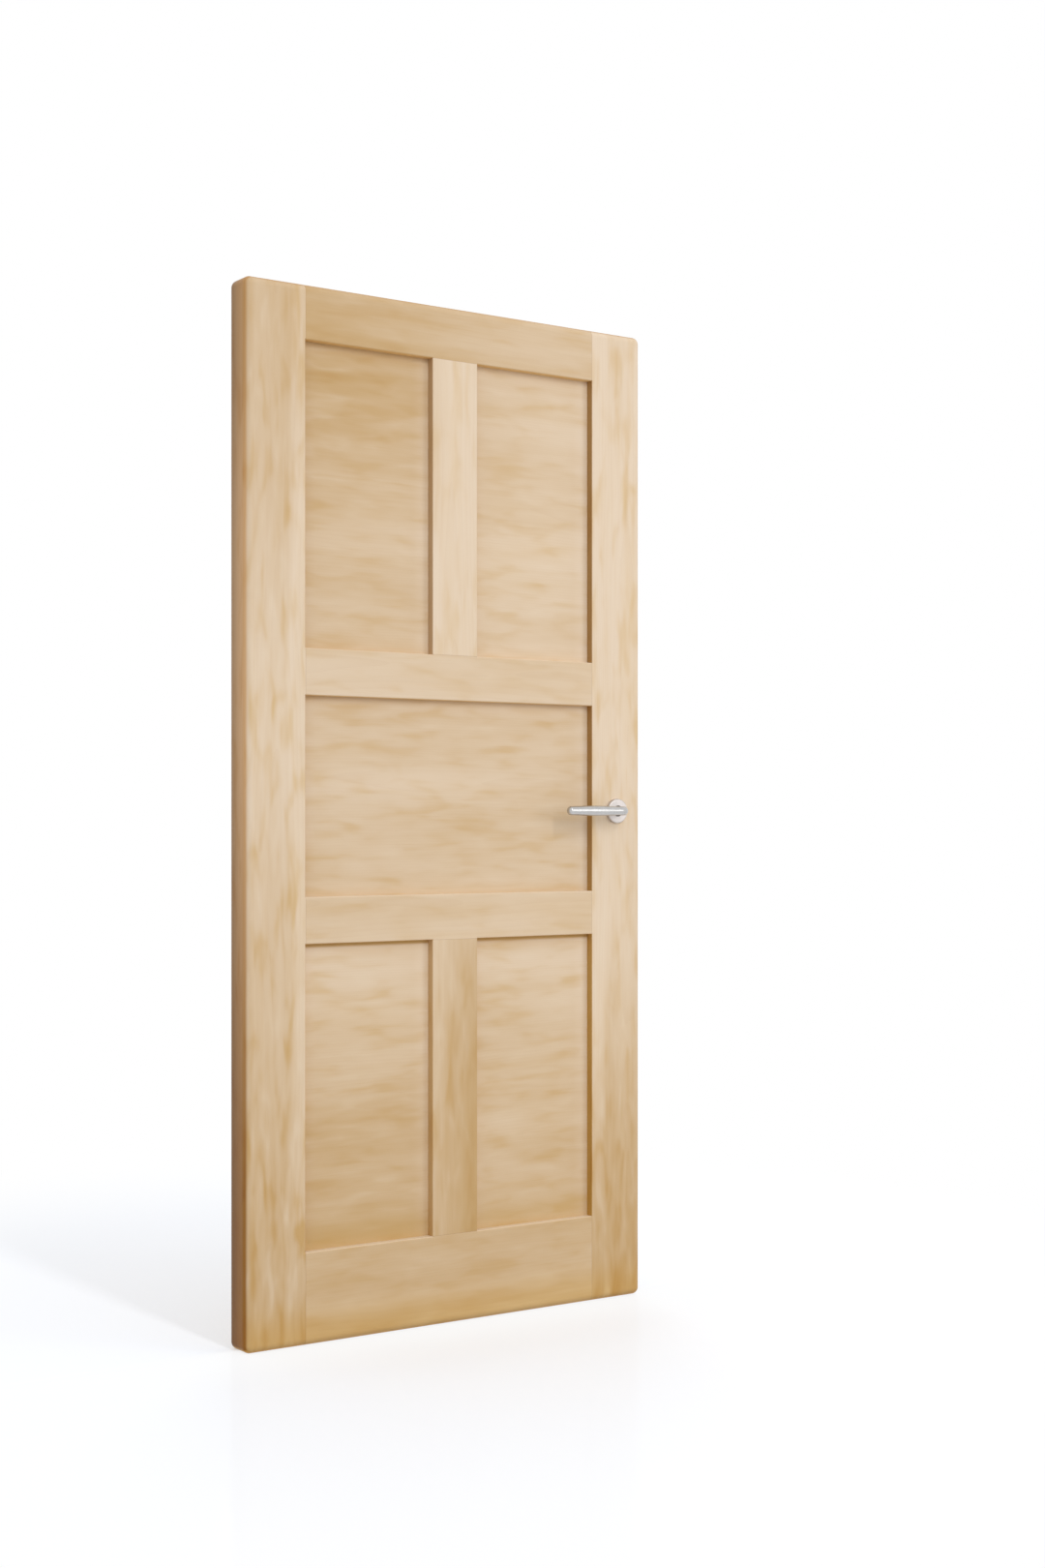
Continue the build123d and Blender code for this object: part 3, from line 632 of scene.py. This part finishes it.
def edge_and_recess(tree, board, inside):
    """Shares of outer edge and of recess wall, from 1 - |normal Y|. A wall that faces up is no recess."""
    # Both shares are painted shade, where edges and recess walls turn away from the lamps; a recess wall
    # that faces up gets none.
    off_face = sums(tree, "SUBTRACT", 1.0, sums(tree, "ABSOLUTE", board.normal["Y"]))
    wall = ramp(tree, off_face, *wall_band)
    full = muntin_recess_share.get(board.name, recess_share)
    ledge = ramp(tree, board.normal["Z"], *ledge_band, full, 0.0)
    recess = sums(tree, "MULTIPLY", sums(tree, "MULTIPLY", wall, inside), ledge)
    share = hinge_edge_share if board.name == "hinge_stile" else edge_share
    outside = sums(tree, "SUBTRACT", 1.0, inside)
    edge = sums(tree, "MULTIPLY", wall, sums(tree, "MULTIPLY", outside, share))
    return edge, recess


print("inside is up to", round(inside_x, 3), "m from the middle line")

# %% [markdown]
# ## Tones of edges and walls
#
# The hinge edge is painted a warm brown shade that is deepest near the floor and a little deeper again at
# the top, and the painted shade deepens towards the far face, which the lamps leave in shade. The recess
# walls are a deep honey, painted shade too, and the undersides of edges and rails are painted paler, a
# painted bounce light from the ground. Each tone carries the figure's own lines, so that a streak runs on
# round the arris.

# %% Edge and wall tones
# Painted shade for outer edges and recess walls, and painted bounce light for their undersides.
top_edge_shade_pine = paint(199, 152, 96)
edge_shade_pine = paint(220, 175, 125)
low_edge_shade_pine = paint(153, 99, 0)
under_edge_bounce_pine = paint(255, 206, 120)
recess_shade_pine = paint(167, 125, 60)
low_recess_shade_pine = paint(193, 150, 65)
under_rail_bounce_pine = paint(244, 204, 140)
rear_shade_tint = (0.50, 0.47, 0.46, 1.0)
rear_shade_start = -0.6 * face
hinge_rear_shade_share, rear_shade_share = 1.0, 0.4
low_edge_band = (0.15, 1.25)
top_edge_band = (1.50, 1.85)
low_recess_band = (0.70, 0.95)


def edge_tone(tree, board, underside, lines):
    """The outer edges' painted shade, by height and towards the far face, with painted bounce light below.
    """
    height = board.spot["Z"]
    tone = blend_colours(tree, ramp(tree, height, *low_edge_band), low_edge_shade_pine, edge_shade_pine)
    tone = blend_colours(tree, ramp(tree, height, *top_edge_band), tone, top_edge_shade_pine)
    share = hinge_rear_shade_share if board.name == "hinge_stile" else rear_shade_share
    rear = ramp(tree, board.spot["Y"], rear_shade_start, face, 0.0, share)
    tone = tint_colour(tree, rear, tone, rear_shade_tint)
    # Painted bounce light: the edges' undersides are paler.
    tone = blend_colours(tree, underside, tone, under_edge_bounce_pine)
    return tint_colour(tree, lines, tone, streak_tint)


def recess_shade_tones(tree, board, underside, lines):
    """The painted shade by height, and the walls' colour: that, with painted bounce light below, and the
    lines.
    """
    upward = ramp(tree, board.spot["Z"], *low_recess_band)
    # lacquer is the painted shade colour of the recess walls.
    lacquer = blend_colours(tree, upward, low_recess_shade_pine, recess_shade_pine)
    wall = blend_colours(tree, underside, lacquer, under_rail_bounce_pine)
    return lacquer, tint_colour(tree, lines, wall, streak_tint)


print("edges are deepest below", low_edge_band[0], "m and deeper again above", top_edge_band[1], "m")

# %% [markdown]
# ## Painted shadow on the panels, and joints
#
# On a panel a painted shadow lies in a line under the rail above it, in the recess walls' painted shade
# colour, and in the lower panels the wood just over the ledge is darker in the same colour. A joint shows
# as a hairline where a rail or muntin meets its neighbour: the last half millimetre of each is a touch
# darker and lower. Cutting a real groove there would take geometry for a line that is thinner than a pixel.

# %% Painted shadow on the panels
# under_rail_line is the painted shadow that the rail above casts on the panel.
under_rail_line = (0.010, 0.004)
low_line, high_line, line_band = 0.80, 0.10, (0.80, 1.15)
ledge_darkening, ledge_darkening_band = 0.40, (0.005, 0.085)
darkened_panels_band = (0.35, 0.60)


def panel_shadow_and_darkening(tree, board):
    """The larger of the painted shadow line under the rail and the darkening over the ledge."""
    from_centre = axes(tree, board.centred)["Z"]
    height = board.spot["Z"]
    half = (board.high.z - board.low.z) / 2 - panel_tongue
    # Painted shadow: the line under the rail above.
    line = ramp(tree, from_centre, half - under_rail_line[0], half - under_rail_line[1], 0.0, 1.0)
    line = sums(tree, "MULTIPLY", line, ramp(tree, height, *line_band, low_line, high_line))
    darkening_low, darkening_high = -half + ledge_darkening_band[0], -half + ledge_darkening_band[1]
    ledge_darkening_share = ramp(tree, from_centre, darkening_low, darkening_high, ledge_darkening, 0.0)
    ledge_darkening_share = sums(tree, "MULTIPLY", ledge_darkening_share, ramp(tree, height, *darkened_panels_band, 1.0, 0.0))
    return sums(tree, "MAXIMUM", line, ledge_darkening_share)


print("the line under a rail is", round(1000 * under_rail_line[0], 1), "mm wide")

# %% Joint hairlines
joint_pine = paint(150, 104, 74)
joint_start, joint_full = 0.0007, 0.0002
joint_share = 0.6


def joint_line(tree, board, tenon):
    """1 on the last half millimetre before the hidden tenon, at both ends, else 0."""
    length = {"X": board.high.x - board.low.x, "Z": board.high.z - board.low.z}[board.grain]
    half = length / 2 - tenon
    along = sums(tree, "ABSOLUTE", axes(tree, board.centred)[board.grain])
    return ramp(tree, along, half - joint_start, half - joint_full)


print("joint lines are", round(1000 * (joint_start - joint_full), 2), "mm soft")

# %% [markdown]
# ## One board's whole finish
#
# The layers go on in this order: the wood's own figure, then the painted shade of its edges and recesses,
# then painted light on the tops of the ledges, the golden foot, partly tone and partly painted shade, and
# last the painted shadow under the rails, the darkening over the ledges and the joints. A satin lacquer
# closes it, with little mirror and a shallow relief of fibres.

# %% A finish for one board
underside_band = (-0.8, -0.3)
# ledge_top_band and ledge_top_share set painted light on the ledges' tops.
ledge_top_band, ledge_top_share = (0.5, 0.9), 0.80
# foot_gold_and_shade_tint is partly golden tone and partly painted shade.
foot_gold_and_shade_tint = (0.97, 0.87, 0.60, 1.0)
foot_band, foot_share = (0.01, 0.10), 0.88
shin_band, shin_share = (0.45, 1.05), 0.12
lacquer_mirror = 0.22
relief_strength, relief_depth = 0.25, 0.0003


def board_finish(name, grain, warmth, streaks, seed, pith, tenon):
    """Pine for the board called name. grain is the axis it runs along, and pith its rings' centre.

    tenon is the length at each end that is hidden inside a neighbour, or None where no end is hidden.
    """
    finish = bpy.data.materials.new(name + "_pine")
    tree = new_tree(finish)
    board = read_board(tree, name, grain)
    figure = board_figure(tree, board, warmth, streaks, seed, pith)
    height, lines, relief = board.spot["Z"], figure["Lines"], figure["Relief"]

    # underside marks where edges and rails get painted bounce light from the ground.
    underside = ramp(tree, board.normal["Z"], *underside_band, 1.0, 0.0)
    inside = inner_share(tree, board)
    edge, recess = edge_and_recess(tree, board, inside)
    lacquer, wall_tone = recess_shade_tones(tree, board, underside, lines)
    colour = blend_colours(tree, edge, figure["Colour"], edge_tone(tree, board, underside, lines))
    # Painted shade on the recess walls.
    colour = blend_colours(tree, recess, colour, wall_tone)
    # Painted light: the upward tops of the ledges inside the openings are painted pale.
    painted_ledge_light = ramp(tree, board.normal["Z"], *ledge_top_band, 0.0, ledge_top_share)
    colour = blend_colours(tree, sums(tree, "MULTIPLY", painted_ledge_light, inside), colour, cream_pine)
    # Partly golden tone, partly painted shade: darker and more golden towards the floor.
    foot = ramp(tree, height, *foot_band, foot_share, 0.0)
    foot = sums(tree, "ADD", foot, ramp(tree, height, *shin_band, shin_share, 0.0))
    colour = tint_colour(tree, foot, colour, foot_gold_and_shade_tint)
    # Painted shadow under the rails, and darkening over the ledges, in the recess colour.
    if name.endswith("panel"):
        colour = blend_colours(tree, panel_shadow_and_darkening(tree, board), colour, lacquer)
    if tenon is not None:
        line = joint_line(tree, board, tenon)
        colour = blend_colours(tree, sums(tree, "MULTIPLY", line, joint_share), colour, joint_pine)
        relief = sums(tree, "MULTIPLY_ADD", line, -1.0, relief)

    normal = bumped(tree, relief_strength, relief_depth, relief)
    end_surface(tree, colour, figure["Roughness"], normal, {"Specular IOR Level": lacquer_mirror})
    return finish


def put_on(node, finish):
    """Gives a CAD node its finish, in its own material slot."""
    for slot in frame["nodes"][node].material_slots:
        slot.material = finish


print("the foot turns golden below", foot_band[1], "m")

# %% [markdown]
# ## The thirteen boards
#
# Each row is one board: its grain, how golden it is, how strong its streaks are, and its hidden tenon. The
# rails and panels run across, the stiles and muntins upright, as in the photograph. The pith lies 33 to 57
# mm behind the board's middle and up to 30 mm to one side, a little differently for each, so that no two
# boards show the same arches.

# %% The boards
seed_step = 11.7
boards = (
    ("hinge_stile", "Z", 0.11, 0.80, None),
    ("lock_stile", "Z", -0.06, 0.70, None),
    ("top_rail", "X", 0.48, 0.38, rail_tenon),
    ("upper_mid_rail", "X", 0.30, 0.36, rail_tenon),
    ("lower_mid_rail", "X", 0.24, 0.36, rail_tenon),
    ("bottom_rail", "X", 0.10, 0.46, rail_tenon),
    ("upper_muntin", "Z", -0.15, 0.42, rail_tenon),
    ("lower_muntin", "Z", 0.22, 0.66, rail_tenon),
    ("upper_left_panel", "X", 0.38, 0.55, None),
    ("upper_right_panel", "X", 0.24, 0.52, None),
    ("middle_panel", "X", 0.40, 0.60, None),
    ("lower_left_panel", "X", 0.04, 0.60, None),
    ("lower_right_panel", "X", 0.00, 0.58, None),
)
for number, (name, grain, warmth, streaks, tenon) in enumerate(boards):
    pith = (0.03 * math.sin(2.1 * number), 0.045 + 0.012 * math.cos(1.7 * number), 0.0)
    put_on(name, board_finish(name, grain, warmth, streaks, seed_step * (number + 1), pith, tenon))
print("pine boards:", len(boards))

# %% [markdown]
# ## The metals
#
# The levers are satin: brushed along their length until a lamp shows only as a soft band. The covers of
# their roses are a little rougher and warmer, as pressed sheet is. Metal has no colour of its own beyond
# its tint, so nearly everything is in the roughness and in the fine brush marks, which are noise stretched
# many times along one axis. A flat grey with one roughness would look like paint.

# %% Plain noise
cloud_scale = 60.0


def plain_noise(tree, place, scale, detail):
    """Noise of even grain at place, with features about 1/scale metres wide."""
    sockets = {"Vector": place, "Scale": scale, "Detail": detail}
    return add_node(tree, "ShaderNodeTexNoise", sockets).outputs["Fac"]


print("the metals' cloud is about", round(1000 / cloud_scale), "mm wide")

# %% A finish for metals
brush_share, cloud_share = 0.7, 0.3
roughness_swing = 0.32
dark_mark, dark_band = 0.84, (0.35, 0.65)


def metal_finish(name, colour, roughness, brush):
    """Metal with brush marks: brush_share of a noise stretched by brush, plus cloud_share of a cloud.

    Their swing shifts the roughness, and where they are low the tint is darker.
    """
    finish = bpy.data.materials.new(name)
    tree = new_tree(finish)
    place = add_node(tree, "ShaderNodeTexCoord").outputs["Object"]
    marks = add_node(tree, "ShaderNodeMapping", {"Vector": place, "Scale": brush}).outputs[0]
    fine = plain_noise(tree, marks, scale=1.0, detail=3.0)
    cloud = plain_noise(tree, place, scale=cloud_scale, detail=2.0)
    mixed = sums(tree, "ADD", sums(tree, "MULTIPLY", fine, brush_share),
                 sums(tree, "MULTIPLY", cloud, cloud_share))
    rough = swing(tree, mixed, roughness_swing, roughness, clamp=True)
    darker = tuple(dark_mark * c for c in colour[:3]) + (1.0,)
    tint = blend_colours(tree, ramp(tree, mixed, *dark_band), darker, colour)
    end_surface(tree, tint, rough, bumped(tree, 0.12, 0.0001, fine), {"Metallic": 1.0})
    return finish


metals = (
    ("satin_metal", paint(199, 198, 197), 0.30, (40, 2600, 2600)),
    ("cover_metal", paint(216, 209, 205), 0.54, (2600, 2600, 40)),
    ("plated_steel", paint(176, 178, 180), 0.38, (900, 900, 900)),
    ("spring_steel", paint(150, 152, 156), 0.30, (1500, 1500, 1500)),
    ("screw_steel", paint(190, 192, 195), 0.26, (1800, 1800, 1800)),
    ("bolt_metal", paint(196, 196, 194), 0.24, (60, 2400, 2400)),
)
finishes = {}
for metal, colour, roughness, brush in metals:
    finishes[metal] = metal_finish(metal + "_finish", colour, roughness, brush)
print("metals:", ", ".join(finishes))

# %% [markdown]
# ## Beech and plastic
#
# The dowels are beech, which is pinker and finer than pine, left bare. The bushes at the levers' necks are
# moulded black plastic, with the faint orange peel that moulds leave. Next to nothing of them shows from
# outside, so each is one noise that drives colour and relief together.

# %% Beech dowels
def beech_finish():
    """Bare beech: a pinkish tan with short darker flecks, from one stretched noise."""
    finish = bpy.data.materials.new("beech_finish")
    tree = new_tree(finish)
    place = add_node(tree, "ShaderNodeTexCoord").outputs["Object"]
    marks = add_node(tree, "ShaderNodeMapping", {"Vector": place, "Scale": (90, 900, 400)}).outputs[0]
    flecks = plain_noise(tree, marks, scale=1.0, detail=3.0)
    share = ramp(tree, flecks, 0.4, 0.7)
    colour = blend_colours(tree, share, paint(214, 178, 140), paint(176, 130, 92))
    end_surface(tree, colour, 0.7, bumped(tree, 0.2, 0.0002, flecks))
    return finish


finishes["beech_dowel"] = beech_finish()
print("beech finish:", len(finishes["beech_dowel"].node_tree.nodes), "nodes")

# %% Moulded plastic
def plastic_finish():
    """Black moulded plastic: fine noise shifts its roughness and gives it a faint orange peel."""
    finish = bpy.data.materials.new("plastic_finish")
    tree = new_tree(finish)
    place = add_node(tree, "ShaderNodeTexCoord").outputs["Object"]
    peel = plain_noise(tree, place, scale=1400.0, detail=2.0)
    colour = blend_colours(tree, peel, paint(34, 34, 36), paint(52, 52, 54))
    rough = sums(tree, "MULTIPLY_ADD", peel, 0.2, 0.42)
    end_surface(tree, colour, rough, bumped(tree, 0.15, 0.0001, peel))
    return finish


finishes["bush_plastic"] = plastic_finish()
print("plastic finish:", len(finishes["bush_plastic"].node_tree.nodes), "nodes")

# %% [markdown]
# ## Handing out the finishes
#
# The record says which material slot each node belongs to, so a loop over it dresses all the hardware at
# once. The boards have theirs already. Only the roses' covers depart from their slot's plain satin.

# %% Hand out the finishes
dressed = 0
for row in frame["record"]["subparts"]:
    if row["material_slot"] in finishes:
        put_on(row["node"], finishes[row["material_slot"]])
        dressed += 1
for side in ("front", "back"):
    put_on(side + "_rose_cover", finishes["cover_metal"])
print("hardware and dowels dressed:", dressed)
